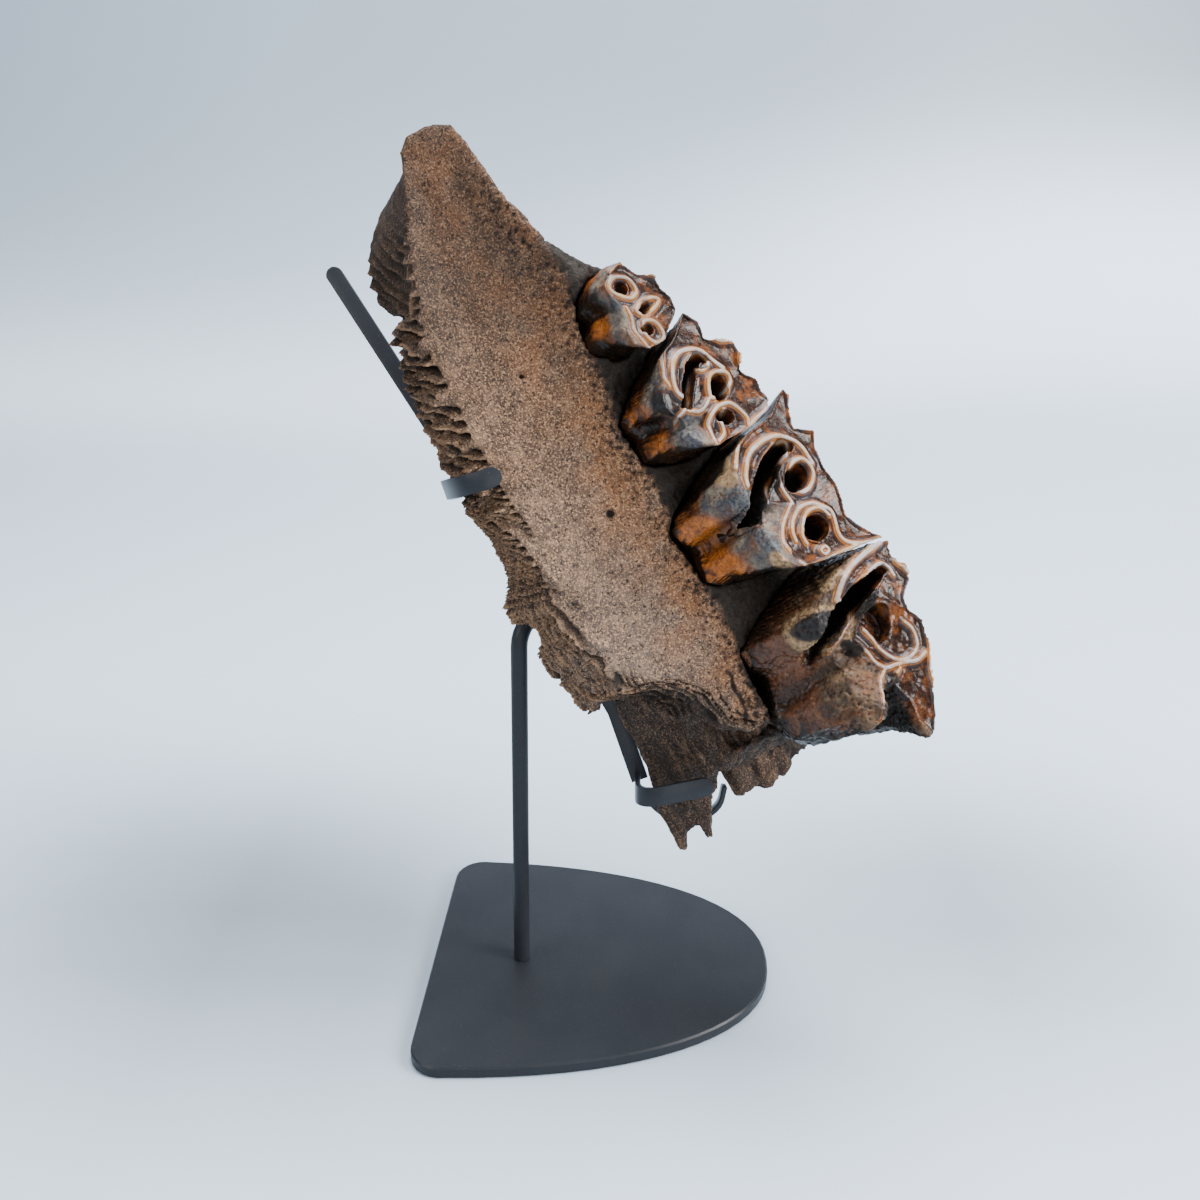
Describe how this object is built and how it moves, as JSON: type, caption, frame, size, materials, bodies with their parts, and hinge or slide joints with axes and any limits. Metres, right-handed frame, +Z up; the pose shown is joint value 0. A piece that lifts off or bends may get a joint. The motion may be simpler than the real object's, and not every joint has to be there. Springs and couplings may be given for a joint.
{
  "type": "fossil woolly rhino maxilla",
  "caption": "Left upper jaw of a woolly rhinoceros with ridged cheek teeth, held upright by a bent flat-bar mount on a round rod and a D-shaped base plate.",
  "frame": {"origin": "on the post's axis at the underside of the base plate, where the stand rests on the table", "axes": "+Z is up and the longest extent; the plate's straight side runs along Y at -X and its round side points to +X; the palate and the chewing surfaces face -Y"},
  "size_m": [0.19, 0.1228, 0.2949],
  "materials": {
    "black_steel": "satin black",
    "fossil_bone": "matt, finely granular brown bone",
    "fossil_tooth": "polished brown dentine with pale enamel ridges"
  },
  "bodies": {
    "root": {"base_plate": "black_steel", "post": "black_steel", "back_bar": "black_steel", "upper_clip": "black_steel", "lower_clip": "black_steel", "cradle": "black_steel", "maxilla": "fossil_bone", "premolar_3": "fossil_tooth", "premolar_4": "fossil_tooth", "molar_1": "fossil_tooth", "molar_2": "fossil_tooth"}
  },
  "joints": []
}
